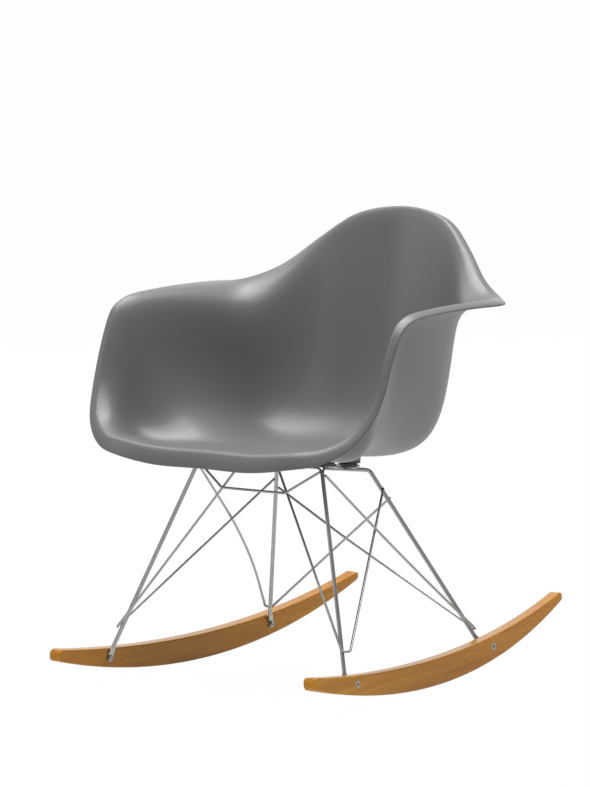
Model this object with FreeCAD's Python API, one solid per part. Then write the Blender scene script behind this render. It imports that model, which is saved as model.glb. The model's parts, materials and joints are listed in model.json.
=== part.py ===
import FreeCAD, Part
import os
from math import sin, cos, atan2, radians, degrees, sqrt, hypot

# A moulded armchair shell on a rod base with two curved wooden rockers.
# Millimetres, +Z up, the sitter looks along -Y, X = 0 is the plane of symmetry.
# The origin lies on the floor under the middle of the rockers.

V = FreeCAD.Vector

# Driving dimensions

CLEAR = 0.06            # free space between pieces that only touch
SKIN = 5.0              # wall of the shell
ROD = 4.4               # diameter of the bright rods
BEND = 12.0             # bend radius at the tops of the legs, measured at a rod's middle line
BRACE_BEND = 6.0        # tight bends at the feet of the braces
SWEEP, SET = 1000.0, 70.0        # radii of the long bow and of the slight bend of a rear brace

ROCKER_T = 24.0         # thickness of the rocker boards
ROCKER_X = 256.3        # middle of a board from X = 0, at Y = 0 on the floor
TOE_IN = 0.0640         # run of the boards towards each other, per millimetre to the back
LEAN = 0.1039           # lean of the boards towards each other, per millimetre of height
EDGE_TILT = 0.4         # share of the lean that the long edges of a board keep
ROLL_R = 1180.0         # rolling radius of the lower edge
ROLL_Y = 23.0           # where the lower edge is level as drawn
EASE = 6.0              # the lower edge flattens to the front and rises to the back by this, at 400 mm
BOARD_DEPTH = 45.0      # height of a board at Y = 0
FRONT_TIP = -386.0
REAR_TIP = 399.0
EDGE_R = 2.5            # rounding of the long edges
FRONT_END_R = 9.0       # rounding of the corners of the front end, then of the rear nose
NOSE_TOP_R, NOSE_LOW_R = 4.0, 8.0

FRONT_BOLT_Y, REAR_BOLT_Y = -259.8, 162.2
BOLT_SHARE = 0.55                # height of a bolt as a share of the board's depth
NUT_HEAD_R, NUT_HEAD_H, NUT_R = 6.5, 2.2, 4.2
BOLT_R = 2.5
FOOT_W, FOOT_REACH, EYE_T = 6.5, 7.0, 2.4     # half width, reach and thickness of a leg's foot plate
WASHER_R, WASHER_T = 5.6, 1.0
HEAD_R, HEAD_H = 4.7, 3.0

TAB_R, TAB_T = 14.0, 2.4         # plates welded on the rods, one under each shock mount
MOUNT_R, MOUNT_H = 20.0, 11.5    # rubber shock mounts
INSERT_R, INSERT_H = 5.0, 8.0
MOUNT_IN = 8.0                   # from the rod to the middle of a mount
FRONT_MOUNT, REAR_MOUNT = 0.15, 0.64     # places of the mounts along the side run

# Legs: a pair of rods runs up and inwards from beside each bolt

FRONT_TOP = (130.9, -137.7)      # X and Y of the tops of the pairs' middle lines
REAR_TOP = (99.9, 36.4)
LEG_TOP_F, LEG_TOP_R = 388.0, 352.0
FRONT_LOW = (0.2, 8.8, 2.24)     # low point from the bolt: back, up, and off the face of the board
REAR_LOW = (-5.1, 4.6, 1.56)
LEG_END = 16.8                   # the rods end this far above the bolt, where the flat feet begin

# Braces: each point is given beside a leg, as a height and the steps out and back

BRIDGE_END = (5.4, -2.5, -3.2)           # below the top of the front leg
BRIDGE_CORNER = 0.147                    # share of the inner arm of the front brace
BRIDGE_OFF = V(-1.1, -4.6, 0.9)          # from that arm to the bridge in front of it
FRONT_V_IN = (0.30, -3.8, -2.3)          # share of the leg's X, then from its top
FRONT_V_A, FRONT_V_B = (102.9, 6.1, -7.5), (102.5, 13.6, 5.5)
FRONT_V_OUT = (32.7, 4.5, 1.1)           # below the top of the rear leg
REAR_V_A, REAR_V_B = (64.1, 11.8, 0.4), (61.6, 2.3, 7.6)
REAR_V_FRONT = (11.4, 1.8, 5.4)          # below the top of the front leg
REAR_V_FAR = (51.5, 0.2, 7.2)            # below the top of the other rear leg
BOW = V(-13.4, 7.6, 0)                   # bow of the long arm
CROSS_NEAR, CROSS_FAR = V(0, -2.6, -2.2), V(0, -7.5, -2.0)      # the two arms part where they cross

# Densities that differ from the steel's, in kilograms per litre, by the start of the name

WEIGHTS = (("shell", 1.10), ("rocker_left", 0.60), ("rocker_right", 0.60),
           ("shock", 1.20), ("mount_inserts", 8.50))

# The shell is drawn with spokes that run from a pole on the seat to the rim.
# Each row is one station of the half rim, from the middle of the front lip over
# the arm to the middle of the top: edge of the flange, how far the crest lies
# inside and above that edge, top of the wall, lean of the wall in degrees, and
# the length of the flat and of the upright part of the spoke. Heights are above
# the middle of the hoops' level parts, which carry the shell.

RIM = [
    (0, -300, 36, 20, 27, 0, -206, 55, 86, 0.45, 0.30),
    (100, -304, 36, 20, 27, 98, -213, 56, 85, 0.45, 0.30),
    (185, -301, 47, 20, 24, 162, -224, 58, 78, 0.50, 0.25),
    (242, -278, 57, 19, 20, 202, -230, 60, 62, 0.60, 0.17),
    (287, -241, 89, 15, 12, 244, -208, 76, 34, 0.68, 0.22),
    (308, -200, 145, 12, 7, 266, -174, 114, 19, 0.71, 0.34),
    (312, -160, 227, 12, 7, 273, -140, 184, 14, 0.72, 0.46),
    (314, -118, 273, 13, 6, 272, -104, 235, 11, 0.72, 0.52),
    (315, -20, 276, 15, 6, 262, -20, 246, 9, 0.73, 0.58),
    (316, 80, 270, 16, 6, 243, 60, 234, 8, 0.79, 0.65),
    (313, 158, 263, 17, 6, 226, 110, 221, 8, 0.84, 0.70),
    (277, 197, 266, 15, 3, 209, 149, 221, 9, 0.84, 0.70),
    (220, 231, 288, 12, 2, 183, 188, 238, 11, 0.82, 0.71),
    (160, 271, 336, 12, 2, 141, 240, 288, 14, 0.75, 0.74),
    (95, 304, 377, 12, 3, 86, 273, 331, 15, 0.69, 0.76),
    (0, 322, 387, 12, 6, 0, 292, 344, 15, 0.65, 0.76),
]
POLE = V(0, 0, 12)
SEAT_FALL = 0.235       # fall of the seat towards the back at the pole
RUN_Y, RUN_Z, RUN_SLOPE = -50.65, -0.75, 11.94     # level parts of the hoops that the rim was drawn for
BOSS = 1.3              # least height of the bosses above the mounts
SPOKES = 96             # spokes round the whole shell
BODY = 9                # steps of a spoke up the wall
TURN, LIP = (0.45, 0.82, 1.0), (0.18, 0.5, 1.0)     # steps out to the crest and down to the edge
SOFTEN = (0, 30, 26, 20, 13, 7, 3)      # rounds of smoothing for the rings nearest the pole


# Shell

def mirrored(shape):
    return shape.mirror(V(0, 0, 0), V(1, 0, 0))


def mirrored_row(j):
    last = len(RIM) - 1
    if 0 <= j <= last:
        return RIM[j]
    row = list(RIM[-j] if j < 0 else RIM[2 * last - j])
    row[0], row[5] = -row[0], -row[5]
    return row


def rim_at(s):
    """Smooth values of the rim table at station s."""
    i = min(int(s), len(RIM) - 2)
    t = s - i
    a, b, c, d = [mirrored_row(i + k) for k in (-1, 0, 1, 2)]
    return [0.5 * (2 * q + (r - p) * t + (2 * p - 5 * q + 4 * r - w) * t * t
                   + (3 * q - p - 3 * r + w) * t ** 3) for p, q, r, w in zip(a, b, c, d)]


def bezier(points, t):
    while len(points) > 1:
        points = [a + (b - a) * t for a, b in zip(points, points[1:])]
    return points[0]


def rim_normal(s):
    """Direction straight out of the rim, seen from above."""
    last = len(RIM) - 1
    if s < 0.01 or s > last - 0.01:
        return V(0, -1 if s < 1 else 1, 0)
    a, b = rim_at(max(s - 0.3, 0)), rim_at(min(s + 0.3, last))
    n = V(b[1] - a[1], a[0] - b[0], 0)
    return n.normalize()


def spoke(s):
    """Points on the inner skin from the pole to the flange edge at station s."""
    x, y, z, over, drop, wx, wy, wz, lean, flat, upright = rim_at(s)
    out = rim_normal(s)
    edge, wall = V(x, y, z), V(wx, wy, wz)
    crest = edge - out * over + V(0, 0, drop)
    run = V(wx - POLE.x, wy - POLE.y, 0)
    length = run.Length
    away = run / length
    tilt = radians(lean)
    rise = away * sin(tilt) + V(0, 0, cos(tilt))
    seat = POLE + away * (flat * length) - V(0, 0, SEAT_FALL * away.y * flat * length)
    under = wall - rise * (upright * hypot(length, wz - POLE.z))
    points = [bezier([POLE, seat, under, wall], i / BODY) for i in range(BODY + 1)]
    gap = hypot(crest.x - wx, crest.y - wy)
    reach = min((crest.z - wz) / max(rise.z, 0.05) * sin(tilt), 0.5 * gap)
    turn = V(wx, wy, crest.z) + away * reach
    points += [bezier([wall, turn, crest], t) for t in TURN]
    nose = crest + out * over * min(1.0, 0.1 + drop / 42.0)
    points += [bezier([crest, nose, edge], t) for t in LIP]
    return points


def shell_grid():
    half = [spoke(i * (len(RIM) - 1) / (SPOKES // 2)) for i in range(SPOKES // 2 + 1)]
    other = [[V(-p.x, p.y, p.z) for p in column] for column in half[-2:0:-1]]
    grid = half + other
    for ring, rounds in enumerate(SOFTEN):
        for _ in range(rounds):
            loop = [column[ring] for column in grid]
            for i in range(SPOKES):
                grid[i][ring] = (loop[i - 1] + loop[i] * 2 + loop[(i + 1) % SPOKES]) / 4
    return lifted([[seated(p) for p in column] for column in grid])


def seated(p):
    """A point of the shell, turned and moved with the hoops' level parts."""
    a, b = side_run()
    turn = atan2(a.z - b.z, b.y - a.y) - radians(RUN_SLOPE)
    y, z = p.y - RUN_Y, p.z - RUN_Z
    middle = (a + b) / 2
    return V(p.x, middle.y + y * cos(turn) + z * sin(turn), middle.z + z * cos(turn) - y * sin(turn))


def lifted(grid):
    """The grid raised until its outer side clears the mounts."""
    need = 0.0
    for share in (FRONT_MOUNT, REAR_MOUNT):
        place, up, _ = mount_frame(share)
        top = place + up * (TAB_T + MOUNT_H)
        for column in offset_grid(grid, SKIN):
            for p in column:
                rise = (p - top).dot(up)
                if (p - top - up * rise).Length < MOUNT_R + 8:
                    need = max(need, BOSS - rise)
    return [[p + V(0, 0, need) for p in column] for column in grid]


def offset_grid(grid, depth):
    """The same grid moved by depth to the outer side of the sheet."""
    moved = []
    n, m = len(grid), len(grid[0])
    for i in range(n):
        column = []
        for j in range(m):
            if j == 0:
                normal = V(0, SEAT_FALL, 1)
            else:
                round_ = grid[(i + 1) % n][j] - grid[i - 1][j]
                along = grid[i][min(j + 1, m - 1)] - grid[i][j - 1]
                normal = along.cross(round_)
            column.append(grid[i][j] - normal.normalize() * depth)
        moved.append(column)
    return moved


def skin_solid():
    """One closed skin: inside from the pole to the edge, round it and back outside."""
    inner = shell_grid()
    outer = offset_grid(inner, SKIN)
    columns = []
    for a, b in zip(inner, outer):
        tip = (a[-1] + b[-1]) / 2 + (a[-1] - a[-2]).normalize() * (0.5 * SKIN)
        columns.append(a + [tip] + b[::-1])
    rows = len(columns[0])
    surface = Part.BSplineSurface()
    surface.buildFromPolesMultsKnots(
        columns, [1] * (SPOKES + 1), [4] + [1] * (rows - 4) + [4],
        list(range(SPOKES + 1)), list(range(rows - 2)), True, False, 3, 3)
    surface.setUNotPeriodic()
    faces = []
    for u in (0, SPOKES // 2):
        for v0, v1 in ((0, rows // 2 - 1), (rows // 2 - 1, rows - 3)):
            patch = surface.copy()
            patch.segment(u, u + SPOKES // 2, v0, v1)
            faces.append(Part.Face(patch))
    skin = Part.Shell(faces)
    skin.sewShape()
    solid = Part.Solid(skin)
    if solid.Volume < 0:
        solid.reverse()
    return solid


# Frames of the mounts under the seat

def side_run():
    """Middle line of a side hoop's level part, from the front leg to the rear leg."""
    return front_leg(LEG_TOP_F) + PAIR_F * HALF, rear_leg(LEG_TOP_R) - PAIR_R * HALF


def mount_frame(share):
    """Place, up direction and inward direction of a mount on the +X side."""
    a, b = side_run()
    along = (b - a).normalize()
    up = V(1, 0, 0).cross(along).normalize()
    if up.z < 0:
        up = -up
    inward = up.cross(along).normalize()
    if inward.x > 0:
        inward = -inward
    a, b = side_run()
    place = a + (b - a) * share + inward * MOUNT_IN + up * (ROD / 2 + CLEAR)
    return place, up, inward


def board_normal():
    """Outward normal of the +X board."""
    return V(1, TOE_IN, LEAN).normalize()


def lower_edge(y):
    far = y - ROLL_Y
    return ROLL_R - sqrt(ROLL_R ** 2 - far ** 2) + EASE * (far / 400.0) ** 3


def upper_edge(y):
    s = y / 400.0
    return lower_edge(y) + BOARD_DEPTH * (1 - 0.04 * s - 0.633 * s ** 2 - 0.028 * s ** 3)


def on_board(y, z, outward):
    """Point on the +X board, outward from its middle along X."""
    return V(ROCKER_X - TOE_IN * y - LEAN * z + outward, y, z)


def bolt_place(y):
    low, high = lower_edge(y), upper_edge(y)
    return y, low + BOLT_SHARE * (high - low)


FRONT_BOLT, REAR_BOLT = bolt_place(FRONT_BOLT_Y), bolt_place(REAR_BOLT_Y)
LEG_END_F, LEG_END_R = FRONT_BOLT[1] + LEG_END, REAR_BOLT[1] + LEG_END


def leg_point(bolt, low, top, top_z, z):
    """Point at height z on the middle line of a leg pair."""
    off = (ROCKER_T / 2 + low[2]) / board_normal().x
    start = on_board(bolt[0] + low[0], bolt[1] + low[1], -off)
    return start + (V(top[0], top[1], top_z) - start) * ((z - start.z) / (top_z - start.z))


def front_leg(z):
    return leg_point(FRONT_BOLT, FRONT_LOW, FRONT_TOP, LEG_TOP_F, z)


def rear_leg(z):
    return leg_point(REAR_BOLT, REAR_LOW, REAR_TOP, LEG_TOP_R, z)


def leg_direction(leg):
    return (leg(300) - leg(100)).normalize()


# The two rods of a leg lie side by side in the plane of the board.
PAIR_F = -board_normal().cross(leg_direction(front_leg)).normalize()
PAIR_R = -board_normal().cross(leg_direction(rear_leg)).normalize()
HALF = ROD / 2 + CLEAR / 2


def cylinder(place, direction, radius, height):
    return Part.makeCylinder(radius, height, place, direction)


def shell():
    body = skin_solid()
    for share in (FRONT_MOUNT, REAR_MOUNT):
        place, up, _ = mount_frame(share)
        foot = place + up * (TAB_T + MOUNT_H + 2 * CLEAR)
        pieces = cylinder(foot, up, MOUNT_R, 60).cut(body).Solids
        low = [piece for piece in pieces if (piece.CenterOfMass - foot).dot(up) < 20]
        body = body.fuse(low + [mirrored(boss) for boss in low])
    return body


# Rods

def rounded_line(points, radii):
    """Straight lines through the points, with each corner rounded by its radius."""
    edges = []
    start = points[0]
    for k, r in enumerate(radii, 1):
        a, b, c = points[k - 1], points[k], points[k + 1]
        into, out = (a - b).normalize(), (c - b).normalize()
        half = into.getAngle(out) / 2
        cut = r / sin(half) * cos(half)
        middle = b + (into + out).normalize() * (r / sin(half) - r)
        p, q = b + into * cut, b + out * cut
        edges.append(Part.makeLine(start, p))
        edges.append(Part.Arc(p, middle, q).toShape())
        start = q
    edges.append(Part.makeLine(start, points[-1]))
    return Part.Wire(edges)


def rod(points, radii):
    path = rounded_line(points, radii)
    ring = Part.makeCircle(ROD / 2, points[0], points[1] - points[0])
    return path.makePipeShell([Part.Wire(ring)], True, False)


def flip(p):
    return V(-p.x, p.y, p.z)


def beside(leg, place):
    """Point beside a leg: height, step out and step back."""
    return leg(place[0]) + V(place[1], place[2], 0)


def under_top(leg, top, place):
    """The same, with the height measured down from the leg's top."""
    return beside(leg, (top - place[0], place[1], place[2]))


def side_hoop():
    a, b = side_run()
    low, end = front_leg(LEG_END_F) + PAIR_F * HALF, rear_leg(LEG_END_R) - PAIR_R * HALF
    return rod([low, a, b, end], [BEND, BEND])


def cross_hoop(leg, low, top, shift):
    a, b = leg(low) + shift, leg(top) + shift
    return rod([a, b, flip(b), flip(a)], [BEND, BEND])


def front_brace_points():
    share, back, up = FRONT_V_IN
    top = front_leg(LEG_TOP_F)
    inner = V(share * top.x, top.y + back, top.z + up)
    outer = under_top(rear_leg, LEG_TOP_R, FRONT_V_OUT)
    return [inner, beside(front_leg, FRONT_V_A), beside(front_leg, FRONT_V_B), outer]


def front_brace():
    return rod(front_brace_points(), [BRACE_BEND, BRACE_BEND])


def bridge():
    """The dipped rod lies in front of the inner arms of the front braces."""
    inner, low = front_brace_points()[:2]
    corner = inner + (low - inner) * BRIDGE_CORNER + BRIDGE_OFF
    end = under_top(front_leg, LEG_TOP_F, BRIDGE_END)
    return rod([flip(end), flip(corner), corner, end], [BRACE_BEND, BRACE_BEND])


def rear_brace(part):
    """From the front leg down to the foot, then across the back to the other rear leg."""
    front = under_top(front_leg, LEG_TOP_F, REAR_V_FRONT)
    low, turn = beside(rear_leg, REAR_V_A), beside(rear_leg, REAR_V_B)
    far = flip(under_top(rear_leg, LEG_TOP_R, REAR_V_FAR))
    cross = turn + (far - turn) * (turn.x / (turn.x - far.x)) + part
    bow = [front + (low - front) * share + BOW for share in (0.406, 0.689)]
    return rod([front] + bow + [low, turn, cross, far], [SWEEP, SWEEP, BRACE_BEND, BRACE_BEND, SET])


# Rockers

def rocker_profile():
    """Closed outline on the inner face of the board."""
    half = 0.5 * ROCKER_T / board_normal().x
    steps = [FRONT_TIP + i * (REAR_TIP - FRONT_TIP) / 14 for i in range(15)]
    low, high = Part.BSplineCurve(), Part.BSplineCurve()
    low.interpolate([on_board(y, lower_edge(y), -half) for y in steps])
    high.interpolate([on_board(y, upper_edge(y), -half) for y in steps])
    ends = [Part.makeLine(on_board(y, lower_edge(y), -half), on_board(y, upper_edge(y), -half))
            for y in (REAR_TIP, FRONT_TIP)]
    return Part.Wire([low.toShape(), ends[0], high.toShape(), ends[1]])


def end_edges(board, y, high):
    """The edge across the board at one end, at the top or at the bottom."""
    z = upper_edge(y) if high else lower_edge(y)
    corner = on_board(y, z, -0.5 * ROCKER_T / board_normal().x)
    return [e for e in board.Edges
            if e.Length < 1.2 * ROCKER_T and min(v.Point.distanceToPoint(corner) for v in e.Vertexes) < 0.01
            and max(abs(v.Y - y) for v in e.Vertexes) < 0.01 and max(v.X for v in e.Vertexes) > corner.x + 5]


def rocker():
    normal = board_normal()
    across = V(1, 0, EDGE_TILT * LEAN)
    board = Part.Face(rocker_profile()).extrude(across * (ROCKER_T / across.dot(normal)))
    for y, top, low in ((FRONT_TIP, FRONT_END_R, FRONT_END_R), (REAR_TIP, NOSE_TOP_R, NOSE_LOW_R)):
        fit = min(1.0, 0.92 * (upper_edge(y) - lower_edge(y)) / (top + low))
        board = board.makeFillet(top * fit, end_edges(board, y, True))
        board = board.makeFillet(low * fit, end_edges(board, y, False))
    sides = sorted(board.Faces, key=lambda face: -face.Area)[:2]
    board = board.makeFillet(EDGE_R, [edge for side in sides for edge in side.OuterWire.Edges])
    for y, z in (FRONT_BOLT, REAR_BOLT):
        outer = on_board(y, z, 0) + normal * (ROCKER_T / 2)
        board = board.cut(cylinder(outer + normal, -normal, NUT_R + 0.15, ROCKER_T + 2))
        board = board.cut(cylinder(outer + normal, -normal, NUT_HEAD_R + 0.1, NUT_HEAD_H + 1))
    return board


def bolt_axis(place):
    """Middle of the board's inner face at a bolt, and the direction out of the board."""
    normal = board_normal()
    return on_board(place[0], place[1], 0) - normal * (ROCKER_T / 2), normal


def sleeve_nut(place):
    inner, normal = bolt_axis(place)
    outer = inner + normal * (ROCKER_T - CLEAR)
    body = cylinder(outer, -normal, NUT_HEAD_R, NUT_HEAD_H - 2 * CLEAR)
    body = body.fuse(cylinder(outer, -normal, NUT_R, ROCKER_T - 2.0))
    body = body.cut(cylinder(inner, normal, BOLT_R + 0.08, ROCKER_T - 6))
    return body.cut(cylinder(outer + normal, -normal, 2.6, 3.2))


def rocker_washer(place):
    inner, normal = bolt_axis(place)
    start = inner - normal * (EYE_T + 2 * CLEAR)
    ring = cylinder(start, -normal, WASHER_R, WASHER_T)
    return ring.cut(cylinder(start + normal, -normal, BOLT_R + 0.2, WASHER_T + 2))


def round_head(place, direction, radius, height):
    """Low domed screw head with a socket, rising along direction."""
    head = cylinder(place, direction, radius, height)
    rim = [e for e in head.Edges if e.Length > 6 * radius and
           (e.CenterOfMass - place).dot(direction) > height / 2]
    head = head.makeFillet(min(height, radius) * 0.55, rim[:1])
    return head.cut(cylinder(place + direction * (height + 1), -direction, radius * 0.42, 2.6))


def rocker_screw(place):
    inner, normal = bolt_axis(place)
    start = inner - normal * (EYE_T + WASHER_T + 3 * CLEAR)
    return round_head(start, -normal, HEAD_R, HEAD_H).fuse(
        cylinder(start, normal, BOLT_R, EYE_T + WASHER_T + 14))


def foot(leg, end, place):
    """Flattened end of a leg: an eye on the board and a strap up to the rod pair."""
    inner, normal = bolt_axis(place)
    base = inner - normal * CLEAR
    up = leg_direction(leg)
    flat_up = (up - normal * up.dot(normal)).normalize()
    across = normal.cross(flat_up)
    corners = [base + across * (s * FOOT_W) + flat_up * h
               for s, h in ((-1, 0), (1, 0), (1, FOOT_REACH), (-1, FOOT_REACH))]
    tongue = Part.Face(Part.makePolygon(corners + corners[:1])).extrude(-normal * EYE_T)
    eye = cylinder(base, -normal, FOOT_W, EYE_T)
    low = base + flat_up * (FOOT_REACH - 0.1)
    lower = [low + across * (s * FOOT_W) - normal * d
             for s, d in ((-1, 0), (1, 0), (1, EYE_T), (-1, EYE_T))]
    top = leg(end) - up * CLEAR
    side = across - up * across.dot(up)
    thick = side.cross(up).normalize()
    if thick.dot(normal) < 0:
        thick = -thick
    side.normalize()
    upper = [top + side * (s * 2 * HALF) - thick * (d * ROD / 2)
             for s, d in ((-1, -1), (1, -1), (1, 1), (-1, 1))]
    strap = Part.makeLoft([Part.makePolygon(lower + lower[:1]),
                           Part.makePolygon(upper + upper[:1])], True, True)
    body = eye.fuse([tongue, strap])
    return body.cut(cylinder(base + normal, -normal, BOLT_R + 0.2, EYE_T + 2))


# Mounts under the seat

def tab(share):
    place, up, _ = mount_frame(share)
    plate = cylinder(place, up, TAB_R, TAB_T)
    return plate.cut(cylinder(place - up, up, BOLT_R + 0.3, TAB_T + 2))


def shock_mount(share):
    place, up, _ = mount_frame(share)
    base = place + up * (TAB_T + CLEAR)
    body = cylinder(base, up, 0.70 * MOUNT_R, 2.5)
    body = body.fuse(cylinder(base + up * 2.2, up, 0.95 * MOUNT_R, 3.0))
    body = body.fuse(cylinder(base + up * 5.0, up, 0.76 * MOUNT_R, 3.2))
    body = body.fuse(cylinder(base + up * 8.0, up, MOUNT_R, MOUNT_H - 8.0))
    body = body.cut(cylinder(base - up, up, BOLT_R + 0.3, MOUNT_H + 2))
    return body.cut(cylinder(base + up * (MOUNT_H - INSERT_H - CLEAR), up, INSERT_R + 0.05, INSERT_H + 2))


def insert(share):
    place, up, _ = mount_frame(share)
    base = place + up * (TAB_T + CLEAR + MOUNT_H - INSERT_H)
    return cylinder(base, up, INSERT_R, INSERT_H).cut(
        cylinder(base - up, up, BOLT_R + 0.08, INSERT_H + 2))


def mount_washer(share):
    place, up, _ = mount_frame(share)
    start = place - up * CLEAR
    ring = cylinder(start, -up, 5.4, WASHER_T)
    return ring.cut(cylinder(start + up, -up, BOLT_R + 0.2, WASHER_T + 2))


def mount_screw(share):
    place, up, _ = mount_frame(share)
    start = place - up * (WASHER_T + 2 * CLEAR)
    return round_head(start, -up, HEAD_R, HEAD_H + 0.6).fuse(
        cylinder(start, up, BOLT_R, WASHER_T + TAB_T + MOUNT_H - 1.0))


# Whole chair

def weight(node):
    """Density of a piece in kilograms per litre."""
    for start, density in WEIGHTS:
        if node.startswith(start):
            return density
    return 7.85


def at_rest(pieces):
    """The pieces rolled on the rockers until their weight hangs below the rolling centre."""
    mass, moment = 0.0, V(0, 0, 0)
    for node, shape in pieces.items():
        for solid in shape.Solids:
            mass += weight(node) * solid.Volume
            moment += solid.CenterOfMass * (weight(node) * solid.Volume)
    centre = moment / mass
    angle = degrees(atan2(ROLL_Y - centre.y, ROLL_R - centre.z))
    for shape in pieces.values():
        shape.rotate(V(0, ROLL_Y, ROLL_R), V(1, 0, 0), angle)
    box = pieces["rocker_left"].optimalBoundingBox(False, False)
    shift = -(box.YMin + box.YMax) / 2
    for shape in pieces.values():
        shape.translate(V(0, shift, -box.ZMin))
    print("mass", round(mass / 1e6, 3), "kg, rolled by", round(angle, 4), "degrees, moved by",
          round(shift, 3), round(-box.ZMin, 3), "mm, touches at", round(ROLL_Y + shift, 2))
    return pieces


def both(make, *args):
    """A piece on the sitter's left and its mirror image."""
    left = make(*args)
    return left, mirrored(left)


def all_pieces():
    pieces = {"shell": shell()}
    for name, share in (("front", FRONT_MOUNT), ("rear", REAR_MOUNT)):
        pieces["shock_mount_%s_left" % name], pieces["shock_mount_%s_right" % name] = both(shock_mount, share)
        pieces["mount_tab_%s_left" % name], pieces["mount_tab_%s_right" % name] = both(tab, share)
    pieces["side_hoop_left"], pieces["side_hoop_right"] = both(side_hoop)
    pieces["cross_hoop_front"] = cross_hoop(front_leg, LEG_END_F, LEG_TOP_F, -PAIR_F * HALF)
    pieces["cross_hoop_rear"] = cross_hoop(rear_leg, LEG_END_R, LEG_TOP_R, PAIR_R * HALF)
    pieces["bridge_rod"] = bridge()
    pieces["brace_front_left"], pieces["brace_front_right"] = both(front_brace)
    pieces["brace_rear_left"] = rear_brace(CROSS_NEAR)
    pieces["brace_rear_right"] = mirrored(rear_brace(CROSS_FAR))
    for name, leg, end, place in (("front", front_leg, LEG_END_F, FRONT_BOLT),
                                  ("rear", rear_leg, LEG_END_R, REAR_BOLT)):
        pieces["foot_%s_left" % name], pieces["foot_%s_right" % name] = both(foot, leg, end, place)
    pieces["rocker_left"], pieces["rocker_right"] = both(rocker)
    for name, make, places in (("mount_inserts", insert, (FRONT_MOUNT, REAR_MOUNT)),
                               ("mount_washers", mount_washer, (FRONT_MOUNT, REAR_MOUNT)),
                               ("mount_screws", mount_screw, (FRONT_MOUNT, REAR_MOUNT)),
                               ("sleeve_nuts", sleeve_nut, (FRONT_BOLT, REAR_BOLT)),
                               ("rocker_washers", rocker_washer, (FRONT_BOLT, REAR_BOLT)),
                               ("rocker_screws", rocker_screw, (FRONT_BOLT, REAR_BOLT))):
        solids = [s for place in places for s in both(make, place)]
        pieces[name] = Part.makeCompound(solids)
    return pieces


os.makedirs("parts", exist_ok=True)
for node, shape in at_rest(all_pieces()).items():
    shape.exportStep("parts/%s.step" % node)
    print(node, shape.ShapeType, shape.isValid(), round(shape.Volume / 1000, 2), "cm3", len(shape.Solids))
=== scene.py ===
# %% [markdown]
# # A moulded armchair on rockers
#
# The chair is one plastic shell on a bright wire base with two wooden rockers.
# Its solids could be drawn again here, but then two models would have to be
# kept alike. So this lesson takes the measured model as a fixed frame and
# leaves every solid as it is. It gives each surface its finish, adds the beads
# of weld metal, and sets up a studio with a white floor, soft lamps and a long
# lens.

# %% Load the measured model
import bpy
import bmesh
import json
import math
from mathutils import Vector, Matrix, noise
from mathutils.bvhtree import BVHTree


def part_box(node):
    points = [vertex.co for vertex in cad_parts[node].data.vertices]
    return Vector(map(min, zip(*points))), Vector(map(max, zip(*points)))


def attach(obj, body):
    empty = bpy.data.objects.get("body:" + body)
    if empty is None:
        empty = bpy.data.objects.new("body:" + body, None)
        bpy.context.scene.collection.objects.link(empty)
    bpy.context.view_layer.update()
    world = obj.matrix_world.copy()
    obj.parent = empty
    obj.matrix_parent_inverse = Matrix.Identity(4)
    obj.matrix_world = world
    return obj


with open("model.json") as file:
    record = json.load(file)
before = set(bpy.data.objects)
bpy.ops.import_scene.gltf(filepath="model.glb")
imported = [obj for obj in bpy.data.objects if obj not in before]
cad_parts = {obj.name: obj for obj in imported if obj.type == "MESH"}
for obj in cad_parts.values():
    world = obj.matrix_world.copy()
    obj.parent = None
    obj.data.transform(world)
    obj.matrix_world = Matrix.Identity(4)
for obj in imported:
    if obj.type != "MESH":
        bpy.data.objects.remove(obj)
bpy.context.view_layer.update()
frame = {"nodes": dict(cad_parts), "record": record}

nodes = frame["nodes"]

# %% [markdown]
# ## Shader sums in plain Python
#
# A finish is mostly arithmetic on noise patterns. Each Math node could be made
# and linked by hand, but that hides the idea. So a small class wraps a socket
# and turns a Python sum into nodes. A second class looks after one node tree
# and makes any other node, for a material and for the world alike.

# %% A socket that can be added and multiplied
class Signal:
    def __init__(self, owner, socket):
        self.owner, self.socket = owner, socket

    def math(self, operation, *values):
        return self.owner.node("ShaderNodeMath", {"operation": operation},
                               dict(enumerate(values)))

    def __add__(self, other):
        return self.math("ADD", self, other)

    def __radd__(self, other):
        return self.math("ADD", other, self)

    def __mul__(self, other):
        return self.math("MULTIPLY", self, other)

    def __rmul__(self, other):
        return self.math("MULTIPLY", other, self)

    def clamp(self):
        return self.owner.node("ShaderNodeClamp", {}, {"Value": self})


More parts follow.
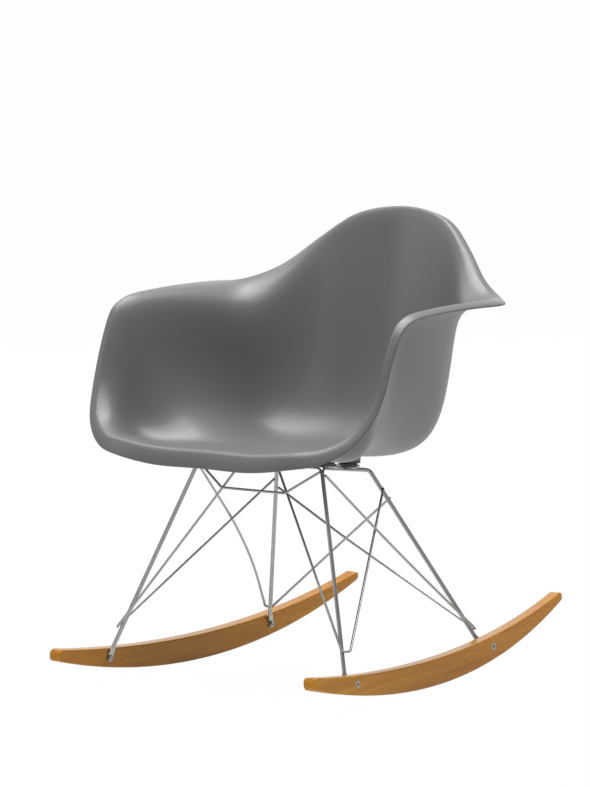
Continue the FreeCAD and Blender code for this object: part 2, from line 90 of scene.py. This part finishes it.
# %% A node tree and the one method that makes its nodes
class Nodes:
    def __init__(self, tree):
        self.tree = tree

    def node(self, kind, settings, sockets, output=0):
        """Settings are set first, then each socket gets a value or a link."""
        made = self.tree.nodes.new(kind)
        for name, value in settings.items():
            if name == "stops":
                self.set_stops(made.color_ramp, value)
            else:
                setattr(made, name, value)
        for name, value in sockets.items():
            self.feed(made.inputs[name], value)
        return Signal(self, made.outputs[output])

    def feed(self, socket, value):
        if isinstance(value, Signal):
            self.tree.links.new(value.socket, socket)
        else:
            socket.default_value = value

    def set_stops(self, ramp, stops):
        while len(ramp.elements) < len(stops):
            ramp.elements.new(0.5)
        for element, (position, colour) in zip(ramp.elements, stops):
            element.position = position
            element.color = colour

    def ray(self, kind):
        """1 for the rays of one kind, such as Is Camera Ray, and 0 for the others."""
        return self.node("ShaderNodeLightPath", {}, {}, kind)

    def place(self, scale=(1, 1, 1)):
        """Object coordinates in metres, multiplied by scale."""
        where = self.node("ShaderNodeTexCoord", {}, {}, "Object")
        return self.node("ShaderNodeMapping", {}, {"Vector": where, "Scale": scale})

    def noise(self, vector, scale, detail, roughness=0.5, distortion=0.0):
        return self.node("ShaderNodeTexNoise", {}, {
            "Vector": vector, "Scale": scale, "Detail": detail,
            "Roughness": roughness, "Distortion": distortion})

    def mix(self, factor, first, second):
        """A blend of two colours: sockets 0, 6 and 7 go in and socket 2 comes out."""
        return self.node("ShaderNodeMix", {"data_type": "RGBA"},
                         {0: factor, 6: first, 7: second}, 2)

    def ramp(self, value, *stops):
        return self.node("ShaderNodeValToRGB", {"stops": stops}, {"Fac": value})


# %% A material, its name and its surface
class Finish(Nodes):
    def __init__(self, name, **constants):
        self.name, self.material = name, bpy.data.materials.new(name)
        self.material.use_nodes = True
        super().__init__(self.material.node_tree)
        self.shader = self.tree.nodes["Principled BSDF"]
        for socket, value in constants.items():
            self.shader.inputs[socket.replace("_", " ")].default_value = value

    def give(self, socket, value):
        self.feed(self.shader.inputs[socket], value)

    def bump(self, height, distance, strength):
        made = self.node("ShaderNodeBump", {}, {
            "Height": height, "Distance": distance, "Strength": strength})
        self.give("Normal", made)


finishes = {}


def keep(finish):
    finishes[finish.name] = finish.material
    print(finish.name, "has", len(finish.tree.nodes), "nodes")


# %% Colours as a screen shows them
def srgb(red, green, blue):
    """Red, green and blue from 0 to 255, turned into what the shader wants."""
    def linear(value):
        v = value / 255
        return v / 12.92 if v <= 0.04045 else ((v + 0.055) / 1.055) ** 2.4
    return (linear(red), linear(green), linear(blue), 1)


BLACK, WHITE = srgb(0, 0, 0), srgb(255, 255, 255)
print("middle grey in the shader:", round(srgb(128, 128, 128)[0], 3))

# %% [markdown]
# ## Moulded plastic
#
# The shell is through-coloured plastic from a mould with a fine satin texture.
# One grey with one roughness would do from afar, but it looks like flat paint.
# On the real shell the shade and the sheen drift a little over a hand's width,
# and up close there is a tiny grain. Each of these is a noise of its own size.
# How strongly the surface shines is the same everywhere, so it is set once on
# the shader.

# %% Satin grey shell
def shell_plastic():
    f = Finish("shell_plastic", Specular_IOR_Level=0.7, Coat_Weight=0.12, Coat_Roughness=0.2)
    here = f.place()
    drift = f.noise(here, scale=5.0, detail=2.0)
    speck = f.noise(here, scale=420.0, detail=3.0)
    grain = f.noise(here, scale=1500.0, detail=2.0)
    shade = (drift * 0.6 + speck * 0.4).clamp()
    f.give("Base Color", f.mix(shade, srgb(86, 88, 88), srgb(94, 96, 96)))
    f.give("Roughness", drift * 0.06 + speck * 0.05 + 0.37)
    f.bump(grain, distance=0.00004, strength=0.6)
    return f


keep(shell_plastic())

# %% [markdown]
# ## Bright rods
#
# The base is steel rod, bent, spot welded and plated. Plating is a metal with a
# light grey colour and a low roughness, which mirrors the room. Drawing lines
# could run along each rod, but the rods point everywhere and are thin, so a
# fine noise that has no direction stands for them, and a coarser one gives the
# faint haze of handling.

# %% Bright plating
def bright_rod():
    f = Finish("bright_rod", Metallic=1.0)
    here = f.place()
    haze = f.noise(here, scale=60.0, detail=3.0)
    fine = f.noise(here, scale=900.0, detail=2.0)
    f.give("Base Color", f.mix(haze, srgb(148, 149, 148), srgb(176, 176, 173)))
    f.give("Roughness", haze * 0.08 + fine * 0.04 + 0.09)
    f.bump(fine, distance=0.000004, strength=0.3)
    return f


keep(bright_rod())

# %% [markdown]
# ## Lacquered wood
#
# The rockers are cut from a hardwood board and lacquered. Growth lines run
# along the board. A wave pattern could draw them, but it repeats too evenly, so
# a noise is stretched about thirty times along Y instead. Short dark flecks are
# the rays of the wood, a broad cloud changes its tone from place to place, and
# the lacquer is a clear coat over all of it.

# %% Honey coloured hardwood
def rocker_wood():
    f = Finish("rocker_wood", Coat_Weight=0.6, Coat_Roughness=0.25, Specular_IOR_Level=0.05)
    bands = f.noise(f.place((1.0, 0.03, 1.0)), scale=95.0, detail=4.0, roughness=0.55,
                    distortion=0.6)
    cloud = f.noise(f.place((1.0, 0.35, 1.0)), scale=9.0, detail=2.0)
    flecks = f.noise(f.place((1.0, 0.10, 1.0)), scale=900.0, detail=2.0)
    mark = f.ramp(flecks, (0.60, BLACK), (0.72, WHITE))
    tone = f.ramp(bands * 0.6 + cloud * 0.4, (0.30, srgb(170, 104, 4)),
                  (0.52, srgb(188, 124, 8)), (0.72, srgb(206, 146, 20)))
    f.give("Base Color", f.mix(mark * 0.25, tone, srgb(160, 98, 20)))
    f.give("Roughness", bands * 0.12 + 0.36)
    f.bump(bands * 0.6 + flecks * 0.4, distance=0.00003, strength=0.4)
    return f


keep(rocker_wood())

# %% [markdown]
# ## Small parts
#
# The shock mounts are moulded rubber, the screws, washers and nuts are zinc
# plated, and the inserts are turned brass. They are small, so a fine noise in
# colour and roughness is enough to keep them from looking like flat paint. The
# two metals differ only in their colours and roughness, so one function makes
# both.

# %% Rubber
def mount_rubber():
    f = Finish("mount_rubber", Specular_IOR_Level=0.3)
    here = f.place()
    dust = f.noise(here, scale=240.0, detail=4.0)
    pores = f.noise(here, scale=1800.0, detail=2.0)
    f.give("Base Color", f.mix(dust, srgb(84, 84, 81), srgb(104, 104, 100)))
    f.give("Roughness", dust * 0.2 + 0.6)
    f.bump(pores, distance=0.00005, strength=0.6)
    return f


keep(mount_rubber())


# %% Zinc and brass
def small_metal(name, low, high, smoothest):
    f = Finish(name, Metallic=1.0)
    here = f.place()
    cloud = f.noise(here, scale=500.0, detail=3.0)
    tool_marks = f.noise(here, scale=2500.0, detail=2.0)
    f.give("Base Color", f.mix(cloud, low, high))
    f.give("Roughness", cloud * 0.15 + smoothest)
    f.bump(tool_marks, distance=0.00002, strength=0.5)
    return f


keep(small_metal("zinc_steel", srgb(140, 140, 137), srgb(176, 176, 170), smoothest=0.22))
keep(small_metal("brass_insert", srgb(170, 138, 80), srgb(200, 168, 104), smoothest=0.25))

# %% [markdown]
# ## Dressing the pieces
#
# Every piece of the chair is made of one material. The record of the measured
# model already says which, so the pieces aren't listed again here: each one
# looks up its own finish.

# %% Dress every piece
for part in frame["record"]["subparts"]:
    piece = nodes[part["node"]]
    piece.data.materials.clear()
    piece.data.materials.append(finishes[part["material_slot"]])

# %% [markdown]
# ## Where the welds are
#
# The rods are spot welded where they meet, and the measured model leaves the
# weld metal out. The places could be typed in, but they would go wrong as soon
# as a rod moved, so they are looked for. Points are laid along the edges of one
# rod and the nearest point of the other rod is looked up. Where the two almost
# touch there is a weld, and points close together belong to the same one.
#
# A side hoop and a cross hoop run side by side down the whole of each leg. The
# search would find a long row of places there, so that pair is skipped.

# %% Find where two rods meet
ROD_NAMES = ("side_hoop", "cross_hoop", "brace", "bridge")
# all in metres: room round a box, distance of the points along an edge, largest
# gap at a weld, and largest distance between two points of one weld
BOX_ROOM = 0.001
EDGE_STEP = 0.0015
WELD_REACH = 0.0007
SAME_WELD = 0.009


def far_apart(first, second):
    """True where the boxes of two pieces don't reach each other."""
    (low_a, high_a), (low_b, high_b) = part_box(first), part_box(second)
    return any(low_a[k] > high_b[k] + BOX_ROOM or low_b[k] > high_a[k] + BOX_ROOM
               for k in range(3))


def along_edges(mesh):
    for edge in mesh.edges:
        a, b = [mesh.vertices[i].co for i in edge.vertices]
        count = max(1, int((b - a).length / EDGE_STEP))
        for i in range(count + 1):
            yield a.lerp(b, i / count)


def meetings(first, second):
    """One point for each place where two rods almost touch."""
    if far_apart(first, second):
        return []
    mesh = nodes[second].data
    tree = BVHTree.FromPolygons([v.co for v in mesh.vertices],
                                [face.vertices for face in mesh.polygons])
    groups = []
    for here in along_edges(nodes[first].data):
        near = tree.find_nearest(here, WELD_REACH)[0]
        if near is None:
            continue
        home = next((g for g in groups if (g[0] - near).length < SAME_WELD), None)
        if home is None:
            groups.append([near])
        else:
            home.append((near + here) / 2)
    return [sum(g, Vector()) / len(g) for g in groups]


def side_by_side(first, second):
    return {first.split("_")[0], second.split("_")[0]} == {"side", "cross"}


rods = sorted(name for name in nodes if name.startswith(ROD_NAMES))
welds = []
for i, name in enumerate(rods):
    for other in rods[i + 1:]:
        if not side_by_side(name, other):
            welds += meetings(name, other)
print("welds:", len(welds))

# %% [markdown]
# ## Beads of weld metal
#
# A spot weld on a rod leaves a small lump, about as wide as the rod is thick.
# A ready-made sphere would be too round and too even. So each bead is a ball
# built ring by ring, and noise pushes its points in and out a little. The place
# of the bead goes into the noise, so no two beads are alike.

# %% Lay a small lumpy bead at each place
BEAD_RADIUS = 0.0021
RINGS, RIBS = 7, 10
LUMP = 0.18                          # share of the radius
PLACE_SCALE, SHAPE_SCALE = 900, 1.4  # how fast the noise changes with each


def outward(ring, rib):
    """The direction from the centre of a ball to one of its points."""
    polar, turn = math.pi * ring / RINGS, 2 * math.pi * rib / RIBS
    return Vector((math.sin(polar) * math.cos(turn), math.sin(polar) * math.sin(turn),
                   math.cos(polar)))


def bead(mesh, centre):
    grid = []
    for ring in range(RINGS + 1):
        row = []
        for rib in range(1 if ring in (0, RINGS) else RIBS):
            out = outward(ring, rib)
            swell = 1 + LUMP * noise.noise(centre * PLACE_SCALE + out * SHAPE_SCALE)
            row.append(mesh.verts.new(centre + out * BEAD_RADIUS * swell))
        grid.append(row)
    for upper, lower in zip(grid, grid[1:]):
        for rib in range(RIBS):
            # the first and the last row are one point each, so a face there has three corners
            corners = [upper[rib % len(upper)], lower[rib % len(lower)],
                       lower[(rib + 1) % len(lower)], upper[(rib + 1) % len(upper)]]
            mesh.faces.new(list(dict.fromkeys(corners))).smooth = True


mesh = bmesh.new()
for weld in welds:
    bead(mesh, weld)
data = bpy.data.meshes.new("weld_beads")
mesh.to_mesh(data)
mesh.free()
beads = bpy.data.objects.new("weld_beads", data)
bpy.context.scene.collection.objects.link(beads)
beads.data.materials.append(finishes["bright_rod"])
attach(beads, "root")
print("bead faces:", len(data.polygons))

# %% [markdown]
# ## White floor
#
# The chair stands in a plain white studio. A floor that is really lit to white
# would throw too much light up at the chair. So the floor stays an ordinary
# pale surface for the light that bounces off it, and only the rays of the
# camera and of shiny or clear surfaces see it as nearly pure white, with a
# trace of the shadow kept.

# %% Floor
FLOOR_SIZE = 120.0
FLOOR_HEIGHT = -0.0002  # a hair below the rockers
FLOOR_WHITE = 0.99      # share of plain white in what the camera sees


def floor_paint():
    f = Finish("floor_paint", Roughness=0.9)
    seen = (f.ray("Is Camera Ray") + f.ray("Is Glossy Ray") + f.ray("Is Transmission Ray")).clamp()
    white = f.node("ShaderNodeEmission", {}, {"Color": WHITE, "Strength": 1.0})
    grain = f.noise(f.place(), scale=40.0, detail=2.0)
    f.give("Base Color", f.mix(grain, (0.79, 0.79, 0.79, 1), (0.81, 0.81, 0.81, 1)))
    paint = Signal(f, f.shader.outputs["BSDF"])
    both = f.node("ShaderNodeMixShader", {}, {0: seen * FLOOR_WHITE, 1: paint, 2: white})
    f.feed(f.tree.nodes["Material Output"].inputs["Surface"], both)
    return f


bpy.ops.mesh.primitive_plane_add(size=FLOOR_SIZE, location=(0, 0, FLOOR_HEIGHT))
floor = bpy.context.object
floor.name = "studio_floor"
floor.data.materials.append(floor_paint().material)
print("floor:", FLOOR_SIZE, "m wide")

# %% [markdown]
# ## White surroundings
#
# The world behind the floor has the same two jobs. It lights the chair softly
# from all around, the camera sees it as white, and in the plating and the
# lacquer it shows at a level in between, so that the metal keeps its contrast.

# %% Surrounding light
SKY_LIGHT = 0.20    # strength of the light on the chair, where the camera sees 1
SKY_IN_SHINE = 0.3  # how far a reflection is on the way from that strength to 1

world = bpy.data.worlds.new("studio_light")
world.use_nodes = True
bpy.context.scene.world = world
sky = Nodes(world.node_tree)
shine = sky.ray("Is Glossy Ray") + sky.ray("Is Transmission Ray")
seen = (shine * SKY_IN_SHINE + sky.ray("Is Camera Ray")).clamp()
back = sky.tree.nodes["Background"]
sky.feed(back.inputs["Color"], WHITE)
sky.feed(back.inputs["Strength"], seen * (1 - SKY_LIGHT) + SKY_LIGHT)
print("world nodes:", len(sky.tree.nodes))

# %% [markdown]
# ## Soft lamps
#
# A large box high above gives the shell its soft top light. Bare point lamps
# would leave hard spots on the satin plastic, so every lamp is an area lamp.
# Four weaker ones stand on the left of the picture, behind the chair and in
# front of it, for the gentle highlights that the photograph shows on the arms
# and in the seat, and a small one hangs under the large box.

# %% Lamps
CHAIR_MIDDLE, SEAT = (0, 0, 0.5), (0, 0, 0.4)


def soft_lamp(name, place, aim, size, power):
    data = bpy.data.lights.new(name, "AREA")
    data.shape = "RECTANGLE"
    data.size, data.size_y = size
    data.energy = power
    lamp = bpy.data.objects.new(name, data)
    lamp.location = place
    lamp.rotation_euler = (Vector(aim) - Vector(place)).to_track_quat("-Z", "Y").to_euler()
    lamp.visible_camera = False
    bpy.context.scene.collection.objects.link(lamp)


soft_lamp("ceiling_box", (0, 0.2, 3.0), SEAT, size=(3.0, 3.0), power=140)
soft_lamp("spot_box", (-0.2, 0.6, 2.4), SEAT, size=(0.8, 0.8), power=5)
soft_lamp("far_left_box", (-1.7, 0.4, 1.9), SEAT, size=(0.9, 1.2), power=7)
soft_lamp("left_box", (-2.2, -1.6, 1.5), CHAIR_MIDDLE, size=(1.2, 1.6), power=8)
soft_lamp("backdrop_glow", (-1.9, 3.1, 1.2), CHAIR_MIDDLE, size=(4.4, 2.0), power=26)
soft_lamp("front_box", (0.4, -2.6, 1.9), CHAIR_MIDDLE, size=(1.4, 1.0), power=4)

# %% [markdown]
# ## Camera
#
# The picture was taken from far away with a long lens: the lines of the rods
# hardly run together. A camera could be moved by hand until the outlines
# match, but its distance and its lens then trade off against each other. So
# its place, turn and lens come from fitting the rods, the rockers and the rim
# of the shell to the photograph all at once.

# %% Long lens
PHOTO_HEIGHT = 787     # pixels
FOCAL_PIXELS = 6944.5  # focal length of the fit, in pixels of the photograph
CAMERA_PLACE = (7.19055, -9.35394, 2.32661)
RIGHT = (0.79414462, 0.60671501, -0.03508866)
UP = (-0.06620454, 0.14376167, 0.98739533)
TOWARDS_CAMERA = (0.60411197, -0.78181167, 0.15433484)

camera_data = bpy.data.cameras.new("long_lens")
camera_data.sensor_width = 36.0
camera_data.lens = FOCAL_PIXELS * camera_data.sensor_width / PHOTO_HEIGHT
camera_data.clip_end = 200.0
camera = bpy.data.objects.new("camera", camera_data)
turn = Matrix((RIGHT, UP, TOWARDS_CAMERA)).transposed().to_4x4()
camera.matrix_world = Matrix.Translation(CAMERA_PLACE) @ turn
bpy.context.scene.collection.objects.link(camera)
bpy.context.scene.camera = camera
bpy.context.scene.view_settings.view_transform = "Standard"
print("lens", round(camera_data.lens, 1), "mm")
